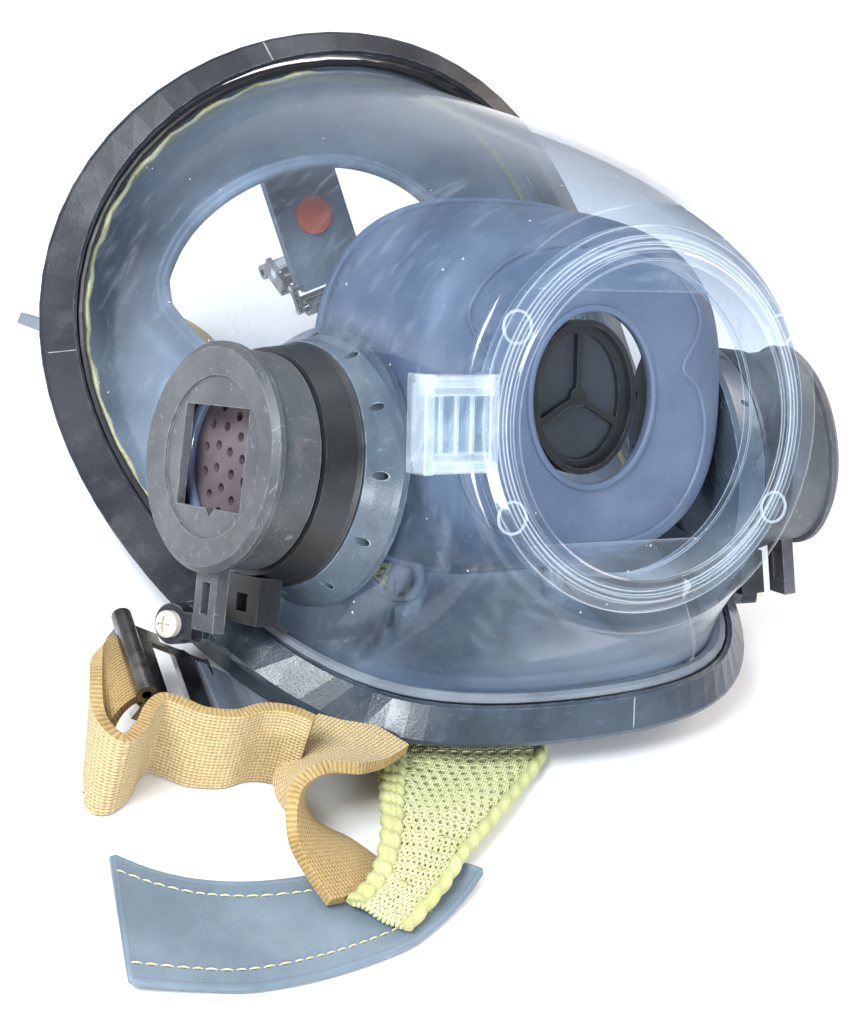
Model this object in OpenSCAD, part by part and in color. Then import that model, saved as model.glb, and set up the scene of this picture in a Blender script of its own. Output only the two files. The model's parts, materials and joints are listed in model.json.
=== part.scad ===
// Full face respirator: clear visor, two-piece clamp frame, moulded face seal, nose cup,
// two voice diaphragm housings and a knitted head harness, standing on a table.
// The mask is drawn about its port: origin at the centre of the port's front face,
// -Y out along the port axis, +Z up. mask_pose() then leans it back onto its chin.

/* [Posture] */
// Angle by which the mask leans back on its chin, in degrees
lean = 30; // [26:1:32]
// Height of the port centre above the table
port_height = 88; // [88:0.5:92]

/* [Visor] */
// Diameter of the flat front disc of the visor
disc_d = 92; // [88:1:96]
// Diameter of the round port opening
port_d = 67; // [64:0.5:68]
// Thickness of the visor wall
visor_t = 2.4; // [2:0.1:3]
// Distance between the two flat bayonet ledges inside the port
ledge_gap = 54; // [50:1:58]

/* [Frame] */
// Half the width of the visor's rear outline
outline_half_w = 81; // [79:1:82]
// Half the height of the visor's rear outline
outline_half_h = 75; // [74:1:77]
// Width of the frame's front face
frame_w = 9; // [8:0.5:10]
// Depth of the frame's upper half from front to back
upper_depth = 7; // [6:0.5:8]
// Depth of the frame's chin half from front to back
lower_depth = 12; // [11:0.5:12.5]

/* [Voice housings] */
// Distance from the mask's centre plane to the centre of each cover's face
voice_x = 80; // [79:0.5:82]
// Radius of the round cover
cover_r = 25; // [24:0.5:26]
// Overall depth of a housing behind its cover's face
housing_depth = 31; // [30:0.5:32]
// Width of the square window in the cover
window_w = 24; // [20:1:26]
// Height of the square window in the cover
window_h = 22; // [18:1:24]

/* [Harness] */
// Width of the knitted straps
strap_w = 20; // [18:1:22]
// Thickness of the knitted straps
strap_t = 2.4; // [2:0.1:3]
// Width of the stitched band
band_w = 30; // [26:1:32]
// Thickness of the rubber tabs
tab_t = 3; // [2.5:0.5:4]

/* [Hidden] */
$fn = 48;
ROUND = 72;
CENTRE_SHIFT = [3.4, -63.6, 0];

disc_r = disc_d / 2;
port_r = port_d / 2;

// ---- general helpers ----

function unit(v) = v / norm(v);
function ease(x) = let (c = min(max(x, 0), 1)) c * c * (3 - 2 * c);
function flatten(l) = [for (a = l) for (b = a) b];

// A closed ring of sections: every section is a loop of the same number of points.
module ring_solid(sections) {
    m = len(sections);
    n = len(sections[0]);
    faces = [for (i = [0 : m - 1]) for (j = [0 : n - 1])
        let (a = i * n + j, b = i * n + (j + 1) % n,
             c = ((i + 1) % m) * n + (j + 1) % n, d = ((i + 1) % m) * n + j)
        each [[a, b, c], [a, c, d]]];
    polyhedron(flatten(sections), faces, convexity = 8);
}

// A run of sections closed at its two ends.
module run_solid(sections) {
    m = len(sections);
    n = len(sections[0]);
    sides = [for (i = [0 : m - 2]) for (j = [0 : n - 1])
        let (a = i * n + j, b = i * n + (j + 1) % n,
             c = (i + 1) * n + (j + 1) % n, d = (i + 1) * n + j)
        each [[a, b, c], [a, c, d]]];
    front = [for (j = [1 : n - 2]) [0, j + 1, j]];
    back = [for (j = [1 : n - 2]) [(m - 1) * n, (m - 1) * n + j, (m - 1) * n + j + 1]];
    polyhedron(flatten(sections), concat(sides, front, back), convexity = 8);
}

// ---- placing ----

module table_pose() translate(CENTRE_SHIFT) children();

module mask_pose() table_pose() translate([0, 0, port_height]) rotate([-lean, 0, 0]) children();

// ---- the visor's rear outline: angle 0 is the forehead, 180 the chin ----

function outline(t) = [
    outline_half_w * sin(t) + 10 * sin(2 * t) + 5 * sin(3 * t),
    89 + 64 * cos(t) - 8 * cos(2 * t) - 11 * cos(3 * t),
    -7 + outline_half_h * cos(t) + 18 * cos(2 * t) + 2 * cos(3 * t)
];
function along(t) = unit(outline(t + 1) - outline(t - 1));
// The frame's front faces forward and a little up, all the way round.
TIP = 12;
FACING = [0, -cos(TIP), sin(TIP)];
function outward(t) = unit(cross(FACING, along(t)));
function forward(t) = cross(along(t), outward(t));
// A point i outwards and j forwards of the outline.
function rim(t, i, j) = outline(t) + i * outward(t) + j * forward(t);

// ---- visor ----

// The flank draws in beside each voice housing.
function flank(t) = let (u = t > 180 ? 360 - t : t) exp(-pow((u - 98) / 34, 2));
// The brow fills out between the flat disc and the forehead.
function crown(t) = let (u = t > 180 ? 360 - t : t) exp(-pow((u - 30) / 30, 2));
function disc_point(t, r, y) = [r * sin(t), y, r * cos(t)];
function visor_wall(t, s, inset) =
    let (a = disc_point(t, disc_r - inset, 3),
         b = rim(t, -3.4 - inset, -4),
         draw_in = (9 * flank(t) - 6 * crown(t)) * sin(180 * pow(s, 0.9)))
    a + s * (b - a) - draw_in * [sin(t), 0, 0.3 * cos(t) * flank(t) + cos(t) * crown(t)];

module visor_shell() {
    steps = [0.12, 0.28, 0.45, 0.62, 0.8, 1];
    ring_solid([for (k = [0 : ROUND - 1]) let (t = 360 * k / ROUND) concat(
        [disc_point(t, disc_r - 5, 0), disc_point(t, disc_r - 2.2, 0),
         disc_point(t, disc_r - 0.6, 0.8)],
        [for (s = steps) visor_wall(t, s, 0)],
        [for (k = [len(steps) - 1 : -1 : 0]) visor_wall(t, steps[k], visor_t)],
        [disc_point(t, disc_r - 3.6, 3), disc_point(t, disc_r - 5, 3)]
    )]);
}

// The bore runs back this far, and the collar round the ledges a little further.
BORE_END = 9;
COLLAR_END = 12;

module port_plate() {
    rotate([90, 0, 0]) difference() {
        union() {
            translate([0, 0, -3.4]) cylinder(r = disc_r - 4, h = 3.8);
            // low ridge round the opening
            cylinder(r = port_r + 4.2, h = 2.6);
            // collar running back into the mask
            translate([0, 0, -COLLAR_END]) cylinder(r = port_r + 2.2, h = COLLAR_END);
        }
        translate([0, 0, -BORE_END - 1]) cylinder(r = port_r, h = BORE_END + 5);
        translate([0, 0, -COLLAR_END - 1])
            cylinder(r = port_r + 0.7, h = COLLAR_END - BORE_END + 1);
    }
}

// Flat ledges that the regulator's bayonet lugs turn behind.
module port_ledges() {
    for (side = [1, -1]) intersection() {
        rotate([90, 0, 0]) translate([0, 0, -COLLAR_END])
            cylinder(r = port_r + 1.5, h = COLLAR_END - BORE_END - 0.5);
        translate([-port_r - 1, BORE_END, side > 0 ? ledge_gap / 2 : -ledge_gap / 2 - 10])
            cube([port_d + 2, 4, 10]);
    }
}

// Box with ribs that catches the regulator's latch.
module latch_catch() {
    translate([-56, -3.2, -10]) difference() {
        cube([17, 8, 20]);
        translate([2, -1, 4]) cube([13, 7, 12]);
    }
    for (k = [0 : 2]) translate([-52 + 4 * k, -2, -7]) cube([1.2, 6, 14]);
}

module visor() color("lightsteelblue", 0.4) mask_pose() difference() {
    union() {
        visor_shell();
        port_plate();
        port_ledges();
        latch_catch();
    }
    for (side = [-1, 1]) voice_pose(side)
        translate([0, 0, -60]) cylinder(r = 31.8, h = 52);
}

// ---- frame ----

SPLIT = 107;
// The front face narrows towards the forehead.
function face_width(t) = frame_w - 2.4 * exp(-pow((t > 180 ? t - 360 : t) / 48, 2));
// Front face, crease, side face and back; the side draws in by undercut.
function frame_section(t, depth, undercut) = let (w = face_width(t)) [
    [-0.3, -0.6], [0.6, 0], [w - 0.8, -2.4], [w, -3.3],
    [w - undercut, -depth + 0.6], [w - undercut - 0.7, -depth], [0.8, -depth]
];

module frame_run(from, to, count, depth, undercut) run_solid([for (k = [0 : count])
    let (t = from + (to - from) * k / count)
    [for (p = frame_section(t, depth, undercut)) rim(t, p[0], p[1])]]);

// Centre and pose of the clamp screw beside the chin half's end.
module ear_pose(side) translate([side * 81.5, 65, -48.5])
    rotate([0, 0, side > 0 ? -28 : 208]) rotate([0, 85, 0]) children();

// Clamp ear between two heights along its screw, grown by a margin.
module frame_ear(from, to, grow) {
    translate([0, 0, from]) cylinder(r = 4.6 + grow, h = to - from);
    translate([-3 - grow, -2, from]) cube([6 + 2 * grow, 8 + grow, to - from]);
}

// Web from a clamp ear into the frame at angle t, j in front of the outline.
module ear_web(side, t, from, to, j) hull() {
    ear_pose(side) translate([0, 0, from]) cylinder(r = 3.6, h = to - from);
    translate(rim(side * t, 4.5, j)) sphere(r = 1.6, $fn = 16);
}

// Room for the screw's shank and head and for the nut.
module screw_room() {
    translate([0, 0, -11.5]) cylinder(r = 1.7, h = 16);
    translate([0, 0, 0.02]) cylinder(r = 3.4, h = 6);
    translate([0, 0, -13]) cylinder(r = 3.5, h = 4.9);
}

module frame_upper() color([0.1, 0.11, 0.13]) mask_pose() difference() {
    union() {
        frame_run(-SPLIT, SPLIT, 54, upper_depth, 3);
        for (side = [-1, 1]) {
            ear_pose(side) frame_ear(-3.9, 0, 0);
            ear_web(side, SPLIT - 4, -3.9, 0, -4.4);
        }
    }
    for (side = [-1, 1]) ear_pose(side) {
        frame_ear(-13, -4 + 0.05, 0.2);
        screw_room();
    }
}

module frame_lower() color([0.12, 0.13, 0.15]) mask_pose() difference() {
    union() {
        frame_run(SPLIT + 0.3, 360 - SPLIT - 0.3, 36, lower_depth, 0.6);
        for (side = [-1, 1]) {
            ear_pose(side) frame_ear(-8, -4, 0);
            ear_web(side, SPLIT + 6, -8, -4, -7);
        }
    }
    for (side = [-1, 1]) ear_pose(side) {
        frame_ear(-3.95, 8, 0.2);
        screw_room();
    }
}

module frame_screws() color([0.9, 0.88, 0.82]) mask_pose()
    for (side = [-1, 1]) ear_pose(side) difference() {
        union() {
            translate([0, 0, 1.6]) intersection() {
                translate([0, 0, -2.6]) sphere(r = 4);
                cylinder(r = 3, h = 3);
            }
            cylinder(r = 3, h = 1.7);
            translate([0, 0, -11]) cylinder(r = 1.5, h = 11.5);
        }
        translate([-1.8, -0.35, 1.9]) cube([3.6, 0.7, 2]);
        translate([-0.35, -1.8, 1.9]) cube([0.7, 3.6, 2]);
    }

module frame_nuts() color("silver") mask_pose()
    for (side = [-1, 1]) ear_pose(side) translate([0, 0, -10.6]) difference() {
        cylinder(r = 3, h = 2.4, $fn = 6);
        translate([0, 0, -1]) cylinder(r = 1.56, h = 5);
    }

// Rubber bead between visor and frame, thicker round the chin.
module visor_gasket() color([0.36, 0.4, 0.45]) mask_pose()
    ring_solid([for (k = [0 : ROUND - 1])
        let (t = 360 * k / ROUND, r = 1.05 + 0.55 * ease((1 - cos(t)) / 2 * 1.6 - 0.3))
        [for (a = [0 : 45 : 315]) rim(t, -1.9 + r * cos(a) * 0.9, -2.6 + r * sin(a) * 1.4)]]);

// Hardened sealant squeezed out along the forehead and temples.
module sealant_bead() color([0.72, 0.72, 0.5]) mask_pose()
    run_solid([for (k = [0 : 48]) let (t = -96 + 4 * k)
        [for (a = [0 : 60 : 300]) rim(t, -4.6 + 0.9 * cos(a), -7.4 + 0.8 * sin(a))]]);

// ---- face seal ----

// Stations round the seal, by angle from the forehead: [angle, five points outwards and
// forwards of the outline, from the frame to the in-turned lip's edge].
SEAL = [
    [0, [-3, -17], [-8, -27], [-15, -31], [-22, -27], [-24, -21]],
    [42, [-3, -17], [-8, -27], [-15, -29], [-23, -24], [-26, -16]],
    [52, [-3, -17], [-8, -26], [-17, -28], [-24, -24], [-28, -17]],
    [60, [-3, -16], [-9, -23], [-23, -26], [-38, -24], [-48, -17]],
    [68, [-3, -16], [-9, -22], [-23, -25], [-42, -23], [-52, -16]],
    [84, [-3, -15], [-9, -20], [-22, -22], [-40, -21], [-52, -14]],
    [100, [-3, -14], [-9, -18], [-20, -20], [-34, -19], [-42, -14]],
    [120, [-3, -16], [-8, -21], [-17, -27.5], [-28, -30], [-35, -24]],
    [150, [-3, -17], [-9, -24], [-20, -33], [-32, -37], [-39, -30]],
    [180, [-3, -17], [-9, -25], [-20, -36], [-32, -41], [-39, -34]]
];
SEAL_T = 2.6;

function seal_value(t, point, axis) =
    lookup(t > 180 ? 360 - t : t, [for (s = SEAL) [s[0], s[point][axis]]]);
function seal_depth(t) = let (u = t > 180 ? 360 - t : t)
    upper_depth + (lower_depth - upper_depth) * ease((u - SPLIT + 3) / 4) + 0.4;
function seal_path(t) = concat([[0.5, -seal_depth(t)]],
    [for (k = [1 : 5]) [seal_value(t, k, 0), seal_value(t, k, 1)]]);

module face_seal() color([0.34, 0.39, 0.46]) mask_pose()
    ring_solid([for (k = [0 : ROUND - 1])
        let (t = 360 * k / ROUND, p = seal_path(t))
        concat([for (q = p) rim(t, q[0], q[1])],
               [for (k = [len(p) - 1 : -1 : 0])
                   rim(t, p[k][0] - (k < 2 ? SEAL_T : 0), p[k][1] + (k < 2 ? 0 : SEAL_T))])]);

// ---- nose cup ----

// Half width, top and bottom of the cup at each depth behind the port's face.
CUP = [[22, 16, 23, -16], [23.5, 28, 34, -27], [29, 40, 41, -33], [38, 42, 44, -36],
       [52, 44.5, 46, -38], [66, 46, 47, -40]];
CUP_ROUND = 48;

// Pushes a sine outwards, so that a ring drawn with it has fuller corners than a circle.
function boxy(v) = sign(v) * pow(abs(v), 0.74);
function cup_ring(row, inset, back) = [for (k = [0 : CUP_ROUND - 1])
    let (a = 360 * k / CUP_ROUND,
         top = row[2] - inset, bottom = row[3] + inset, mid = (top + bottom) / 2)
    [(row[1] - inset) * boxy(sin(a)), row[0] + back, mid + (top - bottom) / 2 * boxy(cos(a))]];

module nose_cup() color([0.4, 0.45, 0.53]) mask_pose() difference() {
    cup_shell();
    for (side = [-1, 1]) inhale_pose(side) translate([0, 0, -8]) cylinder(r = 10.3, h = 16);
}

module cup_shell() {
    sections = concat([for (row = CUP) cup_ring(row, 0, 0)],
                      [for (k = [len(CUP) - 1 : -1 : 0])
                          cup_ring(CUP[k], 2, k < 2 ? 2.2 : 0)]);
    n = len(sections);
    ring_solid([for (k = [0 : CUP_ROUND - 1]) [for (i = [0 : n - 1]) sections[i][k]]]);
}

// Oval stiffening collar that the cup's mouth is stretched over.
module nose_cup_collar() color([0.2, 0.22, 0.26]) mask_pose()
    ring_solid([for (k = [0 : CUP_ROUND - 1]) let (a = 360 * k / CUP_ROUND)
        [for (q = [[0.3, 2.2], [1.6, 2.2], [1.6, 0], [0.3, 0]])
            [(14 - q[0]) * sin(a), 25 + q[1], 3.5 + (17.5 - q[0]) * cos(a)]]]);

// Spoked valve seat behind the cup's front opening, with its flap.
module mouth_valve_seat() color([0.1, 0.1, 0.12]) mask_pose() {
    ring_solid([for (k = [0 : CUP_ROUND - 1]) let (a = 360 * k / CUP_ROUND)
        [for (q = [[0.3, 1.6], [3.4, 1.6], [3.4, 0], [0.3, 0]])
            [(14 - q[0]) * sin(a), 27.2 + q[1], 3.5 + (17.5 - q[0]) * cos(a)]]]);
    for (spoke = [[270, 15.4], [30, 12.6], [150, 12.6]])
        translate([0, 28, 3.5]) rotate([0, spoke[0], 0]) translate([0, -0.8, -0.8])
            cube([spoke[1], 1.6, 1.6]);
    translate([0, 27.2, 3.5]) rotate([-90, 0, 0]) cylinder(r = 2.2, h = 1.6);
}

module mouth_valve_flap() color([0.14, 0.14, 0.16]) mask_pose()
    translate([0, 28.8, 3.5]) rotate([-90, 0, 0]) scale([0.8, 1, 1]) cylinder(r = 15.5, h = 0.7);

module inhale_pose(side) translate([side * 42, 47, -6])
    rotate([0, side * 90, 0]) rotate([0, 0, 20]) children();

module inhale_seat() {
    difference() {
        translate([0, 0, -2.4]) cylinder(r = 10.2, h = 4.2);
        translate([0, 0, -3]) cylinder(r = 8, h = 6);
    }
    for (a = [0 : 60 : 120]) rotate([0, 0, a]) translate([-8.4, -0.6, -2.4])
        cube([16.8, 1.2, 1.6]);
    translate([0, 0, -2.4]) cylinder(r = 1.6, h = 2.4);
}

module inhale_flap() translate([0, 0, -3.3]) cylinder(r = 8.8, h = 0.7);

// ---- voice housings ----

module voice_pose(side) translate([side * voice_x, 50, -10])
    rotate([0, 0, side > 0 ? -11 : 191]) rotate([0, 83.5, 0]) children();

module voice_housing() difference() {
    rotate_extrude() polygon([
        [19, -housing_depth], [31.3, -housing_depth], [31.3, -29.4], [30.6, -28],
        [28.4, -24.6], [27.2, -22.2], [22.6, -22.2], [22.6, -15], [19, -15]
    ]);
    for (a = [0 : 30 : 330]) rotate([0, 0, a]) translate([28.8, 0, -31.6])
        cylinder(r = 0.9, h = 10);
}

module voice_cover() difference() {
    union() {
        rotate_extrude() polygon([
            [0, -1.9], [17.6, -1.9], [17.6, -1.3], [cover_r - 1.4, -0.3],
            [cover_r, -1.6], [cover_r, -2.8], [cover_r - 1.2, -3.4], [cover_r - 1.2, -12.9],
            [20, -12.9], [20, -4], [0, -4]
        ]);
        // arm plate down to the clamp ear
        translate([21.5, -4, -6.8]) cube([16.1, 8, 3]);
    }
    translate([-window_h / 2, -window_w / 2, -6]) cube([window_h, window_w, 6]);
    translate([window_h / 2 - 1, -2, -6]) rotate([0, 0, 45]) cube([4, 4, 6]);
    translate([27, -1.5, -8]) cube([7, 3, 6]);
}

module voice_grille() difference() {
    translate([0, 0, -11]) cylinder(r = 18.2, h = 1.4);
    translate([0, 0, -12]) cylinder(r = 1.1, h = 4);
    for (ring = [[5, 6], [9.6, 12], [14, 16]]) for (k = [0 : ring[1] - 1])
        rotate([0, 0, 360 / ring[1] * (k + ring[1] / 24)]) translate([ring[0], 0, -12])
            cylinder(r = 1.1, h = 4, $fn = 16);
}

module voice_o_ring() rotate_extrude() translate([18.2, -8.3]) circle(r = 1.3, $fn = 24);

module voice_diaphragm() {
    translate([0, 0, -14.6]) cylinder(r = 18.4, h = 0.4);
    rotate_extrude() polygon([[17, -14.1], [18.6, -14.1], [18.6, -12.9], [17, -12.9]]);
}

// Clip ring behind the cover, with its arm down to the clamp ear.
module bracket() {
    rotate_extrude() polygon([[23.1, -21.7], [27, -21.7], [26.4, -20.6], [24.9, -13.4], [23.1, -13.4]]);
    difference() {
        translate([25, -6, -19.5]) cube([10.6, 12, 6]);
        translate([29, -2, -20]) cube([4, 4, 8]);
    }
}

// ---- harness hardware ----
// Each anchor is drawn in its own frame: strap direction +X, hinge bar along Y, +Z up.

module anchor_top() mask_pose() translate([9.6, 168, 24]) rotate([0, 69, 0])
    rotate([90, 0, 0]) children();
module anchor_temple(side) table_pose() translate([side * 64, 160, 9])
    rotate([0, 0, 90 + side * 41]) rotate([0, 28, 0]) children();
module anchor_cheek_left() table_pose() translate([-81, 14.5, 8.6]) rotate([0, 0, 174])
    rotate([0, -24, 0]) children();
module anchor_cheek_right() table_pose() translate([94, 97, 6.5]) rotate([0, 0, 74])
    children();

// Angle that each buckle hangs at from its tab.
SWING_TOP = 138;
SWING_TEMPLE = -16;
SWING_CHEEK_LEFT = 0;
SWING_CHEEK_RIGHT = 4;

// Wire link whose bar the buckle swings on.
module link() {
    translate([0, 13, 0]) rotate([90, 0, 0]) cylinder(r = 1.1, h = 26);
    for (side = [-1, 1]) translate([-6.5, side * 12, 0]) rotate([0, 90, 0]) cylinder(r = 1.1, h = 6.5);
    translate([-6.5, 13, 0]) rotate([90, 0, 0]) cylinder(r = 1.1, h = 26);
}

// Bent steel plate with a strap slot, hooked over the link's bar.
module buckle(swing) rotate([0, swing, 0]) difference() {
    union() {
        translate([0, 10, 0]) rotate([90, 0, 0]) cylinder(r = 2.4, h = 20);
        translate([0.5, -10.4, 1.2]) cube([8, 20.8, 1.2]);
        translate([8.2, -13, 1.2]) cube([11.3, 26, 1.2]);
        for (side = [-1, 1]) translate([8.6, side * 12.2 - 0.8, -3.4]) cube([9.4, 1.6, 5]);
        translate([18.6, 13, 3.4]) rotate([90, 0, 0]) cylinder(r = 2.2, h = 26);
    }
    translate([18.6, 14, 3.4]) rotate([90, 0, 0]) cylinder(r = 1, h = 28);
    translate([0, 14, 0]) rotate([90, 0, 0]) cylinder(r = 1.18, h = 28);
    translate([5, -9, 0]) cube([6, 18, 3]);
    translate([13.5, 14, -1.6]) rotate([90, 0, 0]) cylinder(r = 1.45, h = 28);
}

module roller(swing) rotate([0, swing, 0]) translate([13.5, 13, -1.6]) rotate([90, 0, 0])
    cylinder(r = 1.4, h = 26);

// Rubber tab, length l, tapering to the link.
module tab(l, w) difference() {
    translate([-l - 2.5, 0, 0]) union() {
        translate([0, -w / 2, -tab_t / 2]) cube([l - 4, w, tab_t]);
        translate([l - 6, -w / 2 + 1.6, -tab_t / 2]) cube([4, w - 3.2, tab_t]);
    }
    translate([-6.5, 14, 0]) rotate([90, 0, 0]) cylinder(r = 1.2, h = 28);
}

// The left cheek's tab bends down from its link and runs in under the frame.
module tab_cheek_left() table_pose() difference() {
    ribbon([[[-77.4, 14.1, 7], [0, 1, 0]], [[-74, 13.8, 5.5], [0, 1, 0]],
        [[-70, 13.4, 3.2], [0, 1, 0]], [[-66, 13, 1.9], [0, 1, 0]],
        [[-60, 13, 1.7], [0, 1, 0]], [[-50, 14, 1.7], [0, 1, 0]]], 22, tab_t);
    translate([-81, 14.5, 8.6]) rotate([0, 0, 174]) rotate([0, -24, 0])
        translate([-6.5, 14, 0]) rotate([90, 0, 0]) cylinder(r = 1.2, h = 28);
}

module tab_button() color([0.85, 0.3, 0.16]) anchor_top() translate([-24, 0, 0]) {
    translate([0, 0, tab_t / 2]) cylinder(r = 5.2, h = 1.2);
    translate([0, 0, -tab_t / 2 - 1.2]) cylinder(r = 4, h = 1.1);
}

// ---- knitted straps, net and band ----

// A ribbon w wide and t thick: stops are [position, direction across the ribbon] and may
// have a third value that narrows it there.
module ribbon(stops, w, t) run_solid([for (i = [0 : len(stops) - 1])
    let (here = stops[i][0],
         ahead = stops[min(i + 1, len(stops) - 1)][0], before = stops[max(i - 1, 0)][0],
         run = unit(ahead - before),
         side = unit(stops[i][1] - (stops[i][1] * run) * run),
         up = cross(run, side) * t / 2,
         half = side * w / 2 * (len(stops[i]) > 2 ? stops[i][2] : 1))
    [here - half - up, here + half - up, here + half + up, here - half + up]]);

UPRIGHT = [0, 0, 1];
ACROSS_X = [1, 0, 0];
ACROSS_Y = [0, 1, 0];

// Cheek strap: folds on the table below its buckle, then runs on edge towards the chin.
STRAP_CHEEK_LEFT = [
    [[-111, 0, 10.4], UPRIGHT], [[-111.5, -5, 10.4], UPRIGHT], [[-109, -9.5, 10.4], UPRIGHT],
    [[-104, -8.5, 10.4], UPRIGHT], [[-99.5, -3.5, 10.4], UPRIGHT], [[-95, -1.6, 10.4], UPRIGHT],
    [[-91, -2.6, 10.4], UPRIGHT], [[-87, -4.6, 10.4], UPRIGHT], [[-81, -5.6, 10.4], UPRIGHT],
    [[-74, -4.6, 10.4], UPRIGHT], [[-67, -6.4, 10.4], UPRIGHT], [[-62, -11, 10.4], UPRIGHT]
];

// Right cheek strap: comes out from under the chin as a loop beside the net.
STRAP_CHEEK_RIGHT = [
    [[-46, -14, 12], [0, -0.5, 1]],
    [[-54, -14.5, 11.4], UPRIGHT], [[-62, -17, 11], UPRIGHT],
    [[-67, -24, 12.4], UPRIGHT], [[-67.5, -32, 13], UPRIGHT],
    [[-66.5, -40, 13], [0.1, 0, 1]]
];

function drape_on_table(path) = [for (p = path) [[p[0], p[1], strap_t / 2 + p[2]], p[3]]];

module strap_top() color([0.8, 0.66, 0.42]) table_pose() ribbon(drape_on_table([
    [6, 172, 0.2, ACROSS_X], [5, 164, 0.2, ACROSS_X], [4, 154, 0.2, ACROSS_X],
    [3, 142, 0.2, ACROSS_X], [2, 130, 0.2, ACROSS_X], [1, 118, 0.2, ACROSS_X],
    [0, 108, 0.6, ACROSS_X]]), strap_w, strap_t);

// Turns round the corner of its buckle, where the knit gathers, then runs under the mask.
module strap_temple(side) color([0.8, 0.66, 0.42]) table_pose() ribbon(concat(
    [for (turn = [[41, 1], [75, 0.76], [110, 0.72], [145, 0.76], [180, 1]])
        let (out = [side * cos(turn[0]), sin(turn[0]), 0])
        [[side * 39.7, 171.3, 0.2 + strap_t / 2] + 10.5 * out, side * out, turn[1]]],
    [for (y = [160, 148, 136, 126])
        [[side * (29 - (160 - y) / 9), y, 0.2 + strap_t / 2], [-1, 0, 0]]]),
    strap_w, strap_t);

module strap_cheek_left() color([0.8, 0.66, 0.42]) table_pose()
    ribbon(STRAP_CHEEK_LEFT, strap_w, strap_t);

module strap_cheek_right() color([0.78, 0.63, 0.4]) table_pose()
    ribbon(STRAP_CHEEK_RIGHT, strap_w, strap_t);

module head_net() color([0.8, 0.83, 0.62]) table_pose() ribbon([
    [[-58, -47, 3.4], [1, -0.3, 0], 0.25], [[-50, -42, 5], [1, -0.2, 0], 0.6],
    [[-40, -33, 5.4], [1, -0.1, 0], 0.85], [[-33, -24, 4.2], ACROSS_X],
    [[-27, -14, 2.7], ACROSS_X], [[-22, -5, 1.6], ACROSS_X], [[-19, 8, 1.3], ACROSS_X],
    [[-15, 24, 1.3], ACROSS_X], [[-11, 46, 1.3], ACROSS_X], [[-8, 70, 1.3], ACROSS_X],
    [[-4, 104, 1.3], ACROSS_X]], 36, 2.4);

module stitched_band() color([0.62, 0.68, 0.73]) table_pose() ribbon([
    [[-114, -41, 2.6], [0.3, 1, 0]], [[-104, -44.5, 1.5], [0.3, 1, 0]],
    [[-93, -47, 1], [0.15, 1, 0]], [[-80, -47, 1], [-0.15, 1, 0]],
    [[-67, -43.6, 1], [-0.35, 1, 0]], [[-55, -37.6, 1], [-0.5, 1, 0]],
    [[-43, -30, 1], [-0.6, 1, 0]]], band_w, 1.6);

// ---- drawing ----

DARK = [0.11, 0.12, 0.13];
STEEL = [0.62, 0.62, 0.6];
RUBBER = [0.34, 0.38, 0.45];

visor();
frame_upper();
frame_lower();
frame_screws();
frame_nuts();
visor_gasket();
sealant_bead();
face_seal();
nose_cup();
nose_cup_collar();
mouth_valve_seat();
mouth_valve_flap();
color(DARK) mask_pose() inhale_pose(-1) inhale_seat();  // inhale_seat_left
color(DARK) mask_pose() inhale_pose(1) inhale_seat();  // inhale_seat_right
color([0.7, 0.72, 0.7]) mask_pose() inhale_pose(-1) inhale_flap();  // inhale_flap_left
color([0.7, 0.72, 0.7]) mask_pose() inhale_pose(1) inhale_flap();  // inhale_flap_right
color(DARK) mask_pose() voice_pose(-1) voice_housing();  // voice_housing_left
color(DARK) mask_pose() voice_pose(1) voice_housing();  // voice_housing_right
color([0.24, 0.24, 0.23]) mask_pose() voice_pose(-1) voice_cover();  // voice_cover_left
color([0.24, 0.24, 0.23]) mask_pose() voice_pose(1) voice_cover();  // voice_cover_right
color([0.36, 0.28, 0.32]) mask_pose() voice_pose(-1) voice_grille();  // voice_grille_left
color([0.36, 0.28, 0.32]) mask_pose() voice_pose(1) voice_grille();  // voice_grille_right
color([0.25, 0.35, 0.55]) mask_pose() voice_pose(-1) voice_o_ring();  // voice_o_ring_left
color([0.25, 0.35, 0.55]) mask_pose() voice_pose(1) voice_o_ring();  // voice_o_ring_right
color(STEEL) mask_pose() voice_pose(-1) voice_diaphragm();  // voice_diaphragm_left
color(STEEL) mask_pose() voice_pose(1) voice_diaphragm();  // voice_diaphragm_right
color(DARK) mask_pose() voice_pose(-1) bracket();  // bracket_left
color(DARK) mask_pose() voice_pose(1) bracket();  // bracket_right
color(RUBBER) anchor_top() tab(39.5, 22);  // tab_top
color(RUBBER) anchor_temple(-1) tab(12.5, 24);  // tab_temple_left
color(RUBBER) anchor_temple(1) tab(12.5, 24);  // tab_temple_right
color(RUBBER) tab_cheek_left();
color(RUBBER) anchor_cheek_right() tab(17, 24);  // tab_cheek_right
tab_button();
color(STEEL) anchor_top() link();  // link_top
color(STEEL) anchor_temple(-1) link();  // link_temple_left
color(STEEL) anchor_temple(1) link();  // link_temple_right
color(STEEL) anchor_cheek_left() link();  // link_cheek_left
color(STEEL) anchor_cheek_right() link();  // link_cheek_right
color(STEEL) anchor_top() buckle(SWING_TOP);  // buckle_top
color(STEEL) anchor_temple(-1) buckle(SWING_TEMPLE);  // buckle_temple_left
color(STEEL) anchor_temple(1) buckle(SWING_TEMPLE);  // buckle_temple_right
color(STEEL) anchor_cheek_left() buckle(SWING_CHEEK_LEFT);  // buckle_cheek_left
color(STEEL) anchor_cheek_right() buckle(SWING_CHEEK_RIGHT);  // buckle_cheek_right
color(STEEL) anchor_top() roller(SWING_TOP);  // roller_top
color(STEEL) anchor_temple(-1) roller(SWING_TEMPLE);  // roller_temple_left
color(STEEL) anchor_temple(1) roller(SWING_TEMPLE);  // roller_temple_right
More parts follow.
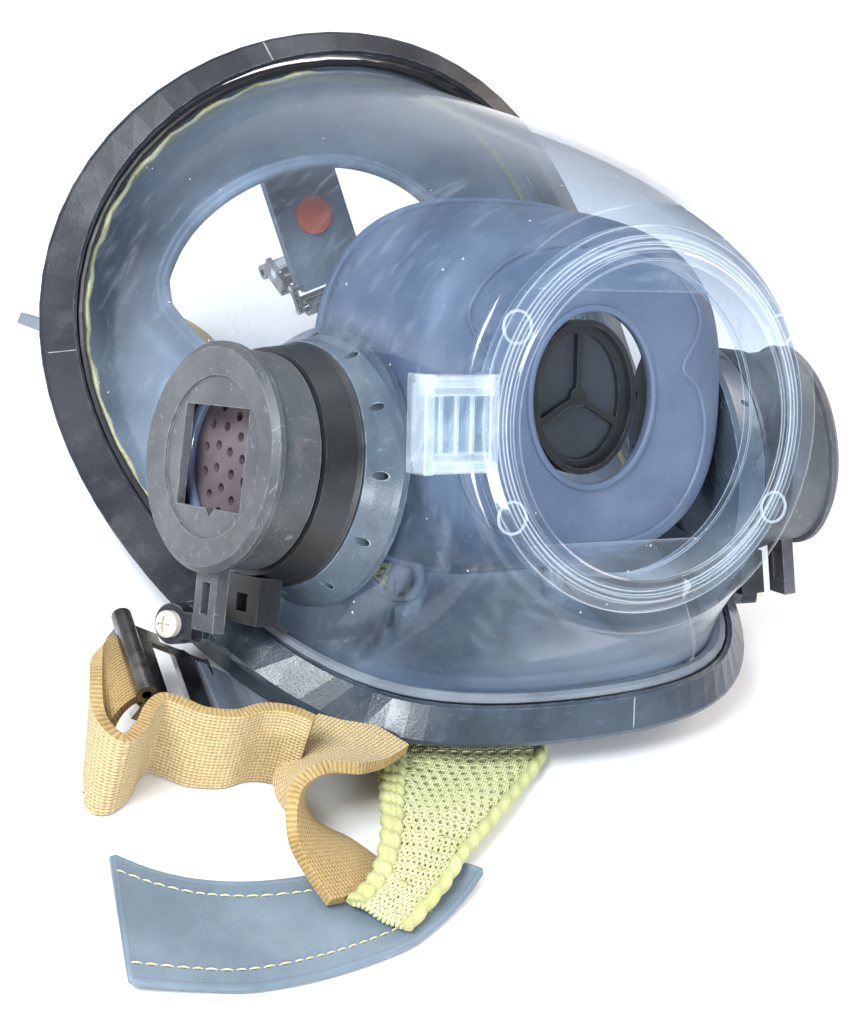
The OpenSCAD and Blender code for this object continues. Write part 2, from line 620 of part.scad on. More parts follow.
color(STEEL) anchor_cheek_left() roller(SWING_CHEEK_LEFT);  // roller_cheek_left
color(STEEL) anchor_cheek_right() roller(SWING_CHEEK_RIGHT);  // roller_cheek_right
strap_top();
strap_temple(-1);  // strap_temple_left
strap_temple(1);  // strap_temple_right
strap_cheek_left();
strap_cheek_right();
head_net();
stitched_band();
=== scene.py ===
"""Looks of the full face respirator. Lengths in the tables are millimetres."""
import json
import math
import random
import bmesh
import bpy
from mathutils import Matrix, Vector


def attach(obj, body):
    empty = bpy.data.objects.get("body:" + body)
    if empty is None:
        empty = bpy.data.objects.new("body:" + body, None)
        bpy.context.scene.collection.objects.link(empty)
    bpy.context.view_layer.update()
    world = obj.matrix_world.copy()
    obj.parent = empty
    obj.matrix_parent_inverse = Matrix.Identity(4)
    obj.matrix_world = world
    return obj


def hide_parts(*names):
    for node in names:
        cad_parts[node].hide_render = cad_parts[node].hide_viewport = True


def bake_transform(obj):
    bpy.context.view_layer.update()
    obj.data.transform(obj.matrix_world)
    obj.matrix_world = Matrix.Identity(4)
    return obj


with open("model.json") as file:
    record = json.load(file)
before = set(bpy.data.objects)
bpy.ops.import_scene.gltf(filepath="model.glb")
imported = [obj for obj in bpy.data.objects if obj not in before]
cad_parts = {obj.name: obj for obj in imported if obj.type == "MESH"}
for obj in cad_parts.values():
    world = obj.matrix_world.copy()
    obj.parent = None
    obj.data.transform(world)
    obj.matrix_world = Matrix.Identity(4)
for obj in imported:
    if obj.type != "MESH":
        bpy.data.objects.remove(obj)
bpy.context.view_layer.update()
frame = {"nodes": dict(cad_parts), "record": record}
NODES = frame["nodes"]
MM = 0.001

# ---------------------------------------------------------------- frames of reference
port = next(m for m in frame["record"]["mounts"] if m["name"] == "regulator_port")
OUT = Vector(port["axis"]).normalized()
PORT_RIDGE = 2.6
PORT_DEPTH = port["dims"]["length_mm"] / 2 - PORT_RIDGE
CENTRE = Vector(port["pos_m"]) + OUT * MM * PORT_DEPTH
AX, AY = Vector((1, 0, 0)), -OUT
AZ = AX.cross(AY)
FLOOR = Vector((CENTRE.x, CENTRE.y, 0))


def mask(x, y, z):
    """A point given about the port: x right, y into the mask, z up the visor."""
    return CENTRE + (AX * x + AY * y + AZ * z) * MM


def table(x, y, z):
    """A point given about the spot on the table below the port."""
    return FLOOR + Vector((x, y, z)) * MM


# ---------------------------------------------------------------- node helpers
class Mat:
    """A material with short calls for its nodes. Coordinates are the row frame, in metres."""

    def __init__(self, name):
        self.m = bpy.data.materials.new(name)
        self.m.use_nodes = True
        self.t = self.m.node_tree
        self.b = self.t.nodes["Principled BSDF"]
        self.out = self.t.nodes["Material Output"]
        self.xyz = self.new("ShaderNodeTexCoord").outputs["Object"]

    def new(self, kind, **props):
        n = self.t.nodes.new(kind)
        for k, v in props.items():
            setattr(n, k, v)
        return n

    def link(self, a, b):
        self.t.links.new(a, b)

    def put(self, socket, value):
        if hasattr(value, "is_linked"):
            self.link(value, socket)
        else:
            socket.default_value = value

    def noise(self, scale, detail=3, rough=0.55, stretch=None, w=0.0):
        n = self.new("ShaderNodeTexNoise")
        n.inputs["Scale"].default_value = scale
        n.inputs["Detail"].default_value = detail
        n.inputs["Roughness"].default_value = rough
        n.inputs["Distortion"].default_value = w
        self.link(self.stretched(stretch), n.inputs["Vector"])
        return n.outputs["Fac"]

    def stretched(self, stretch):
        if not stretch:
            return self.xyz
        mp = self.new("ShaderNodeMapping")
        mp.inputs["Scale"].default_value = stretch[:3]
        if len(stretch) > 3:
            mp.inputs["Rotation"].default_value = stretch[3:]
        self.link(self.xyz, mp.inputs["Vector"])
        return mp.outputs[0]

    def voronoi(self, scale, feature="F1", out="Distance", stretch=None):
        n = self.new("ShaderNodeTexVoronoi", feature=feature)
        n.inputs["Scale"].default_value = scale
        self.link(self.stretched(stretch), n.inputs["Vector"])
        return n.outputs[out]

    def math(self, op, a, b=0.0, c=0.0, clamp=False):
        n = self.new("ShaderNodeMath", operation=op, use_clamp=clamp)
        self.put(n.inputs[0], a)
        self.put(n.inputs[1], b)
        self.put(n.inputs[2], c)
        return n.outputs[0]

    def band(self, value, low, high, to_low=0.0, to_high=1.0, smooth=True):
        n = self.new("ShaderNodeMapRange", interpolation_type="SMOOTHSTEP" if smooth else "LINEAR")
        self.put(n.inputs[0], value)
        for i, v in enumerate((low, high, to_low, to_high)):
            n.inputs[i + 1].default_value = v
        return n.outputs[0]

    def mix(self, fac, a, b):
        n = self.new("ShaderNodeMix", data_type="RGBA")
        self.put(n.inputs["Factor"], fac)
        for s, v in ((n.inputs[6], a), (n.inputs[7], b)):
            if hasattr(v, "is_linked"):
                self.link(v, s)
            else:
                s.default_value = (*v, 1)
        return n.outputs[2]

    def bump(self, height, strength=0.2, distance=0.0004, prior=None):
        n = self.new("ShaderNodeBump")
        n.inputs["Strength"].default_value = strength
        n.inputs["Distance"].default_value = distance
        self.link(height, n.inputs["Height"])
        if prior:
            self.link(prior, n.inputs["Normal"])
        return n.outputs[0]

    def edge(self, radius=0.0005):
        """1 along edges and 0 on flats, from how far a rounded normal leans off the real one."""
        round_ = self.new("ShaderNodeBevel", samples=4)
        round_.inputs["Radius"].default_value = radius
        dot = self.new("ShaderNodeVectorMath", operation="DOT_PRODUCT")
        self.link(round_.outputs[0], dot.inputs[0])
        self.link(self.new("ShaderNodeNewGeometry").outputs["Normal"], dot.inputs[1])
        return self.band(dot.outputs["Value"], 0.96, 0.78)

    def along(self, axis):
        s = self.new("ShaderNodeSeparateXYZ")
        self.link(self.xyz, s.inputs[0])
        return s.outputs[axis]

    def uv(self):
        s = self.new("ShaderNodeSeparateXYZ")
        self.link(self.new("ShaderNodeUVMap", uv_map="UVMap").outputs[0], s.inputs[0])
        return s.outputs[0], s.outputs[1]

    def set(self, **sockets):
        names = {"color": "Base Color", "rough": "Roughness", "metal": "Metallic", "normal": "Normal",
                 "coat": "Coat Weight", "coat_rough": "Coat Roughness", "sheen": "Sheen Weight",
                 "sheen_rough": "Sheen Roughness", "spec": "Specular IOR Level", "ior": "IOR",
                 "alpha": "Alpha", "sss": "Subsurface Weight"}
        for k, v in sockets.items():
            s = self.b.inputs[names[k]]
            if isinstance(v, tuple) and len(v) == 3:
                v = (*v, 1)
            self.put(s, v)
        return self


def plastic(name, dark, light, rough=(0.35, 0.55), grain=0.12, edge_wear_and_highlight=None, edge_wear_and_highlight_amount=0.5,
            scuff=0.25, dust=0.0, dust_color=(0.45, 0.42, 0.38), coat=0.0, upper_painted_shade=None):
    """Moulded plastic or rubber: mottled colour, fine grain, scuffs, worn edges (on the voice housing and
    lower frame also a painted edge highlight), dust, and on request a painted shade on the upper part.
    """
    m = Mat(name)
    tone = m.mix(m.band(m.noise(38, 4), 0.3, 0.7), dark, light)
    scratch = m.band(m.noise(260, 3, 0.6, (1, 9, 1, 0.3, 0.2, 0.9)), 0.62, 0.74)
    scratch2 = m.band(m.noise(310, 2, 0.6, (10, 1, 2, 0.8, 0.1, 0.4)), 0.64, 0.76)
    marks = m.math("MULTIPLY", m.math("MAXIMUM", scratch, scratch2), scuff)
    tone = m.mix(marks, tone, tuple(min(1, 2.2 * c + 0.05) for c in light))
    # edge colour: rubbed edges, and where a bright colour is given, a painted highlight along the edges
    if edge_wear_and_highlight:
        worn_and_lit_edges = m.band(m.noise(300, 3), 0.42, 0.62, 0.1, edge_wear_and_highlight_amount)
        tone = m.mix(m.math("MULTIPLY", m.edge(), worn_and_lit_edges), tone, edge_wear_and_highlight)
    if dust:
        tone = m.mix(m.math("MULTIPLY", m.band(m.noise(95, 5, 0.65), 0.52, 0.72), dust), tone, dust_color)
    # painted shade: towards larger y, up the leaning visor, the colour blends to the given darker one
    if upper_painted_shade:
        tone = m.mix(m.band(m.along(1), -0.05, -0.02), tone, upper_painted_shade)
    height = m.math("ADD", m.noise(1500, 2), m.math("MULTIPLY", marks, -1.5))
    m.set(color=tone, rough=m.band(m.noise(70, 4), 0.3, 0.7, *rough), coat=coat,
          normal=m.bump(height, grain, 0.0003))
    return m.m


def metal(name, dark, light, rough=(0.12, 0.3), brushed=None, stain=None):
    m = Mat(name)
    tone = m.mix(m.band(m.noise(90, 4), 0.3, 0.7), dark, light)
    if stain:
        tone = m.mix(m.band(m.noise(210, 5, 0.7), 0.56, 0.7), tone, stain)
    height = m.noise(900, 2, 0.5, brushed)
    m.set(color=tone, metal=1.0, rough=m.band(m.noise(160, 4), 0.3, 0.7, *rough),
          normal=m.bump(height, 0.12, 0.0002))
    return m.m


def clear(name, tint=(0.86, 0.9, 0.94), haze=(0.03, 0.16), body=(0.42, 0.5, 0.6), edge=0.85,
          scratches=0.35, gloss=0.07, warm=0.0, edge_highlight_paint=0.0):
    """Scuffed clear plastic: what is behind shows through, with haze, scratches and specks, and on request a
    painted warm reflection patch on the upper right and painted highlights along the edges.
    """
    m = Mat(name)
    facing = m.new("ShaderNodeLayerWeight")
    facing.inputs["Blend"].default_value = 0.5
    lean = facing.outputs["Facing"]
    rim_light = m.math("POWER", lean, 4.0)
    fog = m.band(m.noise(24, 5, 0.6, w=0.8), 0.36, 0.72, *haze)
    wipe = m.band(m.noise(60, 4, 0.6, (1, 5, 2, 0.3, 0.5, 0.4)), 0.5, 0.75, 0.0, 0.12)
    fine = m.band(m.noise(330, 2, 0.5, (1, 14, 1, 0.4, 0.5, 0.7)), 0.68, 0.74)
    fine2 = m.band(m.noise(290, 2, 0.5, (13, 1, 1.5, 0.2, 0.9, 0.3)), 0.69, 0.75)
    lines = m.math("MULTIPLY", m.math("MAXIMUM", fine, fine2), scratches)
    specks = m.math("MULTIPLY", m.band(m.voronoi(260), 0.09, 0.05), m.band(m.noise(70, 2), 0.5, 0.58))
    cover = m.math("ADD", m.math("ADD", fog, wipe), m.math("MULTIPLY", lines, 0.3))
    cover = m.math("ADD", cover, m.math("MULTIPLY", specks, 0.5), clamp=True)
    cover = m.math("MAXIMUM", cover, m.math("MULTIPLY", rim_light, edge), clamp=True)
    light = tuple(min(1, c * 1.35) for c in body)
    tone = m.mix(m.band(m.noise(30, 4), 0.35, 0.65), body, light)
    # painted reflection: a pinkish-tan patch on the right-hand, upper part of the shell stands in for a warm
    # reflection and thickens the cover there
    if warm:
        side = m.math("MULTIPLY", m.band(m.along(0), 0.0, 0.05), m.band(m.along(2), 0.075, 0.11))
        tone = m.mix(m.math("MULTIPLY", side, warm), tone, (0.55, 0.42, 0.36))
        cover = m.math("ADD", cover, m.math("MULTIPLY", side, 0.3 * warm), clamp=True)
    # painted highlight: edges found by the bevel node turn bluish white and more opaque
    if edge_highlight_paint:
        painted_edge_highlight = m.math("MULTIPLY", m.edge(0.0009), edge_highlight_paint)
        tone = m.mix(painted_edge_highlight, tone, (0.85, 0.92, 1.0))
        cover = m.math("MAXIMUM", cover, painted_edge_highlight, clamp=True)
    tone = m.mix(specks, tone, (0.85, 0.85, 0.84))
    m.set(color=tone, rough=m.band(m.noise(150, 4), 0.3, 0.7, 0.3, 0.5),
          normal=m.bump(m.math("ADD", lines, m.noise(45, 2)), 0.1, 0.0003))
    see = m.new("ShaderNodeBsdfTransparent")
    see.inputs["Color"].default_value = (*tint, 1)
    front = m.math("SUBTRACT", 1.0, m.new("ShaderNodeNewGeometry").outputs["Backfacing"])
    hazy = m.new("ShaderNodeMixShader")
    m.link(m.math("MULTIPLY", cover, front), hazy.inputs[0])
    m.link(see.outputs[0], hazy.inputs[1])
    m.link(m.b.outputs[0], hazy.inputs[2])
    shine = m.new("ShaderNodeBsdfGlossy")
    m.link(m.band(m.noise(130, 4), 0.3, 0.7, gloss, gloss + 0.1), shine.inputs["Roughness"])
    shiny = m.new("ShaderNodeMixShader")
    fresnel = m.math("ADD", m.math("MULTIPLY", m.math("POWER", lean, 4.5), 0.85), 0.045)
    m.link(m.math("MULTIPLY", fresnel, front), shiny.inputs[0])
    m.link(hazy.outputs[0], shiny.inputs[1])
    m.link(shine.outputs[0], shiny.inputs[2])
    m.link(shiny.outputs[0], m.out.inputs["Surface"])
    return m.m


# ---------------------------------------------------------------- mesh helpers
def mesh_object(name, verts, faces, material, smooth=True, sharp=None, uvs=None, closed=False):
    me = bpy.data.meshes.new(name)
    me.from_pydata([tuple(v) for v in verts], [], faces)
    me.validate()
    if closed:
        shape = bmesh.new()
        shape.from_mesh(me)
        bmesh.ops.recalc_face_normals(shape, faces=shape.faces)
        shape.to_mesh(me)
        shape.free()
    if uvs:
        layer = me.uv_layers.new(name="UVMap")
        for loop in me.loops:
            layer.data[loop.index].uv = uvs[loop.vertex_index]
    if smooth:
        me.shade_smooth()
        if sharp:
            me.set_sharp_from_angle(angle=math.radians(sharp))
    ob = bpy.data.objects.new(name, me)
    bpy.context.scene.collection.objects.link(ob)
    me.materials.append(material)
    return ob


def grid(rows, close_rows=False, close_cols=False, flip=False):
    m, n = len(rows), len(rows[0])
    faces = []
    for i in range(m if close_rows else m - 1):
        for j in range(n if close_cols else n - 1):
            a, b = i * n + j, i * n + (j + 1) % n
            c, d = ((i + 1) % m) * n + (j + 1) % n, ((i + 1) % m) * n + j
            faces.append((a, d, c, b) if flip else (a, b, c, d))
    return [v for r in rows for v in r], faces


def modifier(ob, kind, **props):
    mod = ob.modifiers.new(kind.title(), kind)
    for k, v in props.items():
        setattr(mod, k, v)
    return mod


def spline(points, count):
    """Catmull-Rom through points of any dimension, count steps in all, even in parameter."""
    out = []
    n = len(points) - 1
    for s in range(count + 1):
        x = min(s / count * n, n - 1e-9)
        i, f = int(x), x - int(x)
        p0, p1, p2, p3 = (points[max(0, min(n, k))] for k in (i - 1, i, i + 1, i + 2))
        out.append(tuple(0.5 * (2 * b + (c - a) * f + (2 * a - 5 * b + 4 * c - d) * f * f
                                + (3 * b - a - 3 * c + d) * f ** 3) for a, b, c, d in zip(p0, p1, p2, p3)))
    return out


def lathe(name, profile, place, material, steps=128, sharp=30, close=True):
    rows = [[place(r * math.cos(a), r * math.sin(a), z) for r, z in profile]
            for a in (2 * math.pi * k / steps for k in range(steps))]
    verts, faces = grid(rows, close_rows=True, close_cols=close)
    return mesh_object(name, verts, faces, material, sharp=sharp, closed=close)


def tube(name, path, radius, material, sides=10, closed=False, taper=None):
    """A round tube along path, points in metres."""
    n = len(path)
    rows = []
    normal = None
    for i, p in enumerate(path):
        a = path[(i - 1) % n] if closed or i > 0 else path[i]
        b = path[(i + 1) % n] if closed or i < n - 1 else path[i]
        run = (b - a).normalized()
        if normal is None:
            normal = run.orthogonal().normalized()
        normal = (normal - run * normal.dot(run)).normalized()
        side = run.cross(normal)
        r = radius * (taper(i / (n - 1)) if taper else 1)
        rows.append([p + (normal * math.cos(t) + side * math.sin(t)) * r
                     for t in (2 * math.pi * k / sides for k in range(sides))])
    verts, faces = grid(rows, close_rows=closed, close_cols=True)
    if not closed:
        faces += [tuple(range(sides))[::-1], tuple(range((n - 1) * sides, n * sides))]
    return mesh_object(name, verts, faces, material, sharp=50, closed=True)


def ride(ob, body="mask"):
    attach(ob, body)
    return ob


# ---------------------------------------------------------------- camera
camera = bpy.data.objects.new("camera", bpy.data.cameras.new("camera"))
bpy.context.scene.collection.objects.link(camera)
bpy.context.scene.camera = camera
RIGHT = Vector((0.87209, -0.41204, 0.26398))
DOWN = Vector((-0.03481, -0.59031, -0.80643))
AHEAD = Vector((0.48811, 0.69409, -0.52914))
turn = Matrix((RIGHT, -DOWN, -AHEAD)).transposed().to_4x4()
camera.matrix_world = Matrix.Translation(table(-246.73, -285.06, 283.49)) @ turn
camera.data.sensor_fit = "VERTICAL"
camera.data.sensor_height = 24
camera.data.lens = 46.875
camera.data.clip_start = 0.01

# ---------------------------------------------------------------- light and floor
bpy.context.scene.view_settings.view_transform = "Standard"
world = bpy.data.worlds.new("studio")
bpy.context.scene.world = world
world.use_nodes = True
world.node_tree.nodes["Background"].inputs["Color"].default_value = (0.92, 0.95, 1.0, 1)
world.node_tree.nodes["Background"].inputs["Strength"].default_value = 0.5


def lamp(name, at, aim, size, power, color):
    data = bpy.data.lights.new(name, "AREA")
    data.shape = "RECTANGLE"
    data.size, data.size_y = size
    data.energy = power
    data.color = color
    ob = bpy.data.objects.new(name, data)
    bpy.context.scene.collection.objects.link(ob)
    ob.location = at
    ob.rotation_euler = (Vector(aim) - Vector(at)).to_track_quat("-Z", "Y").to_euler()


lamp("key", (-0.8, -0.25, 0.9), (0, 0, 0.05), (0.6, 0.45), 21, (0.93, 0.97, 1.0))
lamp("sky", (0.1, 0.35, 1.1), (0, 0, 0.05), (0.8, 0.5), 4.5, (0.95, 0.98, 1.0))
lamp("warm", (0.8, 0.1, 0.5), (0, 0, 0.07), (0.35, 0.5), 5, (1.0, 0.84, 0.74))
lamp("front", (-0.15, -0.95, 0.3), (0, -0.03, 0.04), (0.35, 0.16), 6, (0.88, 0.94, 1.0))

floor_mat = Mat("floor")
floor_mat.set(color=floor_mat.mix(floor_mat.noise(4, 3), (0.86, 0.86, 0.87), (0.9, 0.9, 0.9)), rough=0.7)
floor = mesh_object("floor", [(-3, -3, 0), (3, -3, 0), (3, 3, 0), (-3, 3, 0)], [(0, 1, 2, 3)], floor_mat.m)
floor.location.z = -0.0002

# ---------------------------------------------------------------- finishes
GREY_DUST = (0.2, 0.2, 0.21)
frame_black = plastic("frame_plastic", (0.01, 0.012, 0.016), (0.026, 0.029, 0.036), (0.3, 0.48),
                      edge_wear_and_highlight=(0.34, 0.38, 0.44), edge_wear_and_highlight_amount=0.6, scuff=0.18, dust=0.12,
                      dust_color=GREY_DUST)
# lower frame: a lighter, bluish copy of the frame plastic with a bright bluish edge colour, painted light
# where the lower frame is lit
frame_plastic_lit_copy = plastic("frame_plastic_painted_light", (0.018, 0.026, 0.036), (0.05, 0.07, 0.095), (0.2, 0.36),
                    edge_wear_and_highlight=(0.45, 0.52, 0.6), edge_wear_and_highlight_amount=0.6, scuff=0.25, dust=0.12,
                    dust_color=GREY_DUST)
frame_black.node_tree.nodes["Principled BSDF"].inputs["Specular IOR Level"].default_value = 0.36
# light grey parting-line colour: a painted highlight along the thin ridges
frame_seam_highlight = plastic("frame_seam_highlight", (0.16, 0.17, 0.19), (0.3, 0.32, 0.35), (0.3, 0.5), scuff=0.2)
cover_grey = plastic("cover_plastic", (0.05, 0.055, 0.062), (0.1, 0.106, 0.114), (0.36, 0.55),
                     edge_wear_and_highlight=(0.42, 0.42, 0.43), edge_wear_and_highlight_amount=0.7, scuff=0.45, dust=0.3,
                     dust_color=(0.2, 0.17, 0.15))
# voice housing: the bright bluish edge colour is a painted highlight along its rims as well as wear
housing_dark = plastic("housing_plastic", (0.045, 0.062, 0.082), (0.09, 0.122, 0.158), (0.24, 0.4),
                       edge_wear_and_highlight=(0.5, 0.55, 0.6), edge_wear_and_highlight_amount=0.7, scuff=0.3, dust=0.1)
black = plastic("black_plastic", (0.008, 0.009, 0.01), (0.022, 0.023, 0.026), (0.3, 0.5),
                edge_wear_and_highlight=(0.16, 0.17, 0.18), scuff=0.15)
# the gasket's upper part is painted near-black: painted shade
gasket_grey = plastic("gasket_rubber", (0.12, 0.14, 0.17), (0.24, 0.27, 0.31), (0.4, 0.6), scuff=0.1,
                      upper_painted_shade=(0.008, 0.009, 0.011))
seal_blue = plastic("seal_rubber", (0.16, 0.2, 0.26), (0.3, 0.36, 0.44), (0.4, 0.6), grain=0.08,
                    scuff=0.3, dust=0.5, dust_color=(0.33, 0.29, 0.26))
cup_blue = plastic("cup_rubber", (0.075, 0.105, 0.165), (0.115, 0.15, 0.225), (0.42, 0.58), grain=0.06,
                   edge_wear_and_highlight=(0.4, 0.45, 0.52), edge_wear_and_highlight_amount=0.7, scuff=0.12, dust=0.12,
                   dust_color=(0.22, 0.23, 0.25))
# near-black rubber for the inside of the nose cup and the mouth valve flap: painted shade inside the cup
cup_painted_shade = plastic("cup_inside_painted_shade", (0.02, 0.024, 0.032), (0.035, 0.042, 0.055), (0.4, 0.6), grain=0.06,
                   scuff=0.1)
tab_rubber = plastic("tab_rubber", (0.13, 0.155, 0.2), (0.2, 0.225, 0.27), (0.4, 0.6), scuff=0.2, dust=0.3,
                     dust_color=(0.2, 0.14, 0.1))
flap_clear = plastic("flap_rubber", (0.42, 0.44, 0.42), (0.55, 0.56, 0.53), (0.3, 0.5), scuff=0.1)
sealant = plastic("sealant", (0.28, 0.28, 0.14), (0.5, 0.5, 0.33), (0.5, 0.75), grain=0.8, scuff=0.3,
                  dust=0.7, dust_color=(0.13, 0.12, 0.06))
button_red = plastic("button", (0.72, 0.08, 0.015), (0.86, 0.13, 0.03), (0.4, 0.6), scuff=0.2,
                     edge_wear_and_highlight=(0.9, 0.4, 0.25))
grille_brown = plastic("grille", (0.1, 0.075, 0.085), (0.19, 0.15, 0.165), (0.45, 0.65), grain=0.2, scuff=0.2)
oring_blue = plastic("o_ring", (0.05, 0.08, 0.16), (0.2, 0.28, 0.42), (0.12, 0.25), scuff=0.1, coat=0.6)
foil = metal("foil", (0.5, 0.52, 0.55), (0.7, 0.72, 0.74))
steel_dark = metal("buckle_steel", (0.13, 0.13, 0.13), (0.34, 0.33, 0.32), (0.16, 0.34), (1, 12, 1),
                   stain=(0.12, 0.09, 0.07))
chrome = metal("chrome_wire", (0.5, 0.5, 0.5), (0.75, 0.75, 0.74), (0.06, 0.2), stain=(0.25, 0.2, 0.16))
screw_cream = plastic("screw_cream", (0.62, 0.58, 0.48), (0.8, 0.77, 0.67), (0.3, 0.5), scuff=0.3,
                      edge_wear_and_highlight=(0.9, 0.88, 0.8))
nut_brass = metal("nut_brass", (0.45, 0.33, 0.14), (0.62, 0.48, 0.24))
# the shell carries the painted warm reflection patch on its upper right
clear_shell = clear("clear_shell", haze=(0.02, 0.13), body=(0.34, 0.41, 0.5), warm=0.8)
# the latch and port ring carry painted highlights along their edges
clear_latch = clear("clear_latch", (0.88, 0.93, 0.98), (0.12, 0.34), (0.66, 0.76, 0.88), 0.95, 0.2, 0.04,
                    edge_highlight_paint=0.95)
clear_port = clear("clear_port", (0.9, 0.94, 0.98), (0.02, 0.1), (0.6, 0.68, 0.78), 0.95, 0.2, 0.04,
                   edge_highlight_paint=0.75)

FINISH = {
    "frame_upper": frame_black, "frame_lower": frame_plastic_lit_copy, "frame_screws": screw_cream,
    "frame_nuts": nut_brass,
    "visor_gasket": gasket_grey, "sealant_bead": sealant, "nose_cup_collar": black, "tab_button": button_red,
    "mouth_valve_seat": black, "mouth_valve_flap": cup_painted_shade,
}
for side in ("left", "right"):
    FINISH.update({
        "inhale_seat_" + side: black, "inhale_flap_" + side: flap_clear,
        "voice_housing_" + side: housing_dark,
        "voice_cover_" + side: cover_grey, "voice_grille_" + side: grille_brown,
        "voice_o_ring_" + side: oring_blue,
        "voice_diaphragm_" + side: foil, "bracket_" + side: black,
    })
for end in ("top", "temple_left", "temple_right", "cheek_left", "cheek_right"):
    FINISH.update({"tab_" + end: tab_rubber, "link_" + end: chrome, "buckle_" + end: steel_dark,
                   "roller_" + end: chrome})
BEVELLED = ("voice_", "bracket", "buckle", "frame_screws", "tab_", "nose_cup_collar", "inhale_seat")
for name, ob in NODES.items():
    if name in FINISH:
        ob.data.materials.clear()
        ob.data.materials.append(FINISH[name])
        if name.startswith(BEVELLED) and "o_ring" not in name and "diaphragm" not in name:
            modifier(ob, "BEVEL", width=0.00035, segments=2, limit_method="ANGLE", angle_limit=0.6,
                     harden_normals=True)

# ---------------------------------------------------------------- visor
DISC_R, WALL = 46.0, 2.4


def outline(t):
    s, c = (lambda k: math.sin(math.radians(k * t))), (lambda k: math.cos(math.radians(k * t)))
    return Vector((81 * s(1) + 10 * s(2) + 5 * s(3), 89 + 64 * c(1) - 8 * c(2) - 11 * c(3),
                   -7 + 75 * c(1) + 18 * c(2) + 2 * c(3)))


TIP = math.radians(12)
FACING = Vector((0, -math.cos(TIP), math.sin(TIP)))


def rim(t, i, j):
    run = (outline(t + 1) - outline(t - 1)).normalized()
    outward = FACING.cross(run).normalized()
    return outline(t) + i * outward + j * run.cross(outward)


def fold(t):
    t %= 360
    return 360 - t if t > 180 else t


def disc_point(t, r, y):
    a = math.radians(t)
    return Vector((r * math.sin(a), y, r * math.cos(a)))


def visor_wall(t, s, inset):
    flank = math.exp(-((fold(t) - 98) / 34) ** 2)
    crown = math.exp(-((fold(t) - 30) / 30) ** 2)
    a, b = disc_point(t, DISC_R - inset, 3), rim(t, -3.4 - inset, -4)
    draw = (9 * flank - 6 * crown) * math.sin(math.pi * s ** 0.9)
    ang = math.radians(t)
    pull = Vector((math.sin(ang), 0, 0.3 * math.cos(ang) * flank + math.cos(ang) * crown))
    return a + s * (b - a) - draw * pull


rows = []
STEPS = [0.04, 0.1, 0.18, 0.28, 0.38, 0.48, 0.58, 0.68, 0.78, 0.88, 1.0]
for k in range(180):
    t = 2 * k
    ring = [disc_point(t, DISC_R - 5, 0.1), disc_point(t, DISC_R - 2.4, 0), disc_point(t, DISC_R - 1.1, 0.35),
            disc_point(t, DISC_R - 0.4, 1.2), disc_point(t, DISC_R, 2.4)]
    ring += [visor_wall(t, s, 0) for s in STEPS]
    ring += [visor_wall(t, s, WALL) for s in reversed(STEPS)]
    ring += [disc_point(t, DISC_R - 2.6, 3.2), disc_point(t, DISC_R - 5, 3.2)]
    rows.append([mask(*p) for p in ring])
verts, faces = grid(rows, close_rows=True, close_cols=True)
visor_shell = ride(mesh_object("visor_shell", verts, faces, clear_shell, sharp=45, closed=True))


def port_place(x, y, z):
    return mask(x, -z, y)


port_ring = ride(lathe("visor_port", [
    (41, -0.1), (41, -3.2), (35.7, -3.2), (35.7, -12), (34.2, -12), (34.2, -9), (33.5, -9), (33.5, 2.2),
    (34.0, 2.6), (35.4, 2.6),
    (35.9, 2.2), (36.1, 1.0), (37.0, 0.9), (37.3, 1.7), (38.4, 1.7), (38.8, 0.6), (40.2, 0.2)],
    port_place, clear_port, steps=160, sharp=25))


def box_mesh(name, corner, size, place, material, width=0.0004):
    x0, y0, z0 = corner
    dx, dy, dz = size
    v = [place(x0 + i * dx, y0 + j * dy, z0 + k * dz) for i in (0, 1) for j in (0, 1) for k in (0, 1)]
    f = [(0, 1, 3, 2), (4, 6, 7, 5), (0, 4, 5, 1), (2, 3, 7, 6), (0, 2, 6, 4), (1, 5, 7, 3)]
    ob = mesh_object(name, v, f, material, sharp=30, closed=True)
    modifier(ob, "BEVEL", width=width, segments=3, limit_method="ANGLE", angle_limit=0.6, harden_normals=True)
    return ob


# ledges behind the opening
for name, sign in (("visor_ledge_top", 1), ("visor_ledge_bottom", -1)):
    n = 40
    reach = math.acos(27 / 34.8)
    arc = [(34.8 * math.sin(a), sign * 34.8 * math.cos(a)) for a in
           (-reach + 2 * reach * k / n for k in range(n + 1))]
    verts = [mask(x, 9.6, z) for x, z in arc] + [mask(x, 12, z) for x, z in arc]
    m = len(arc)
    faces = [tuple(range(m)), tuple(range(2 * m - 1, m - 1, -1))]
    faces += [(i, (i + 1) % m, m + (i + 1) % m, m + i) for i in range(m)]
    ob = ride(mesh_object(name, verts, faces, clear_port, sharp=30, closed=True))
    modifier(ob, "BEVEL", width=0.0004, segments=2, limit_method="ANGLE", angle_limit=0.6)

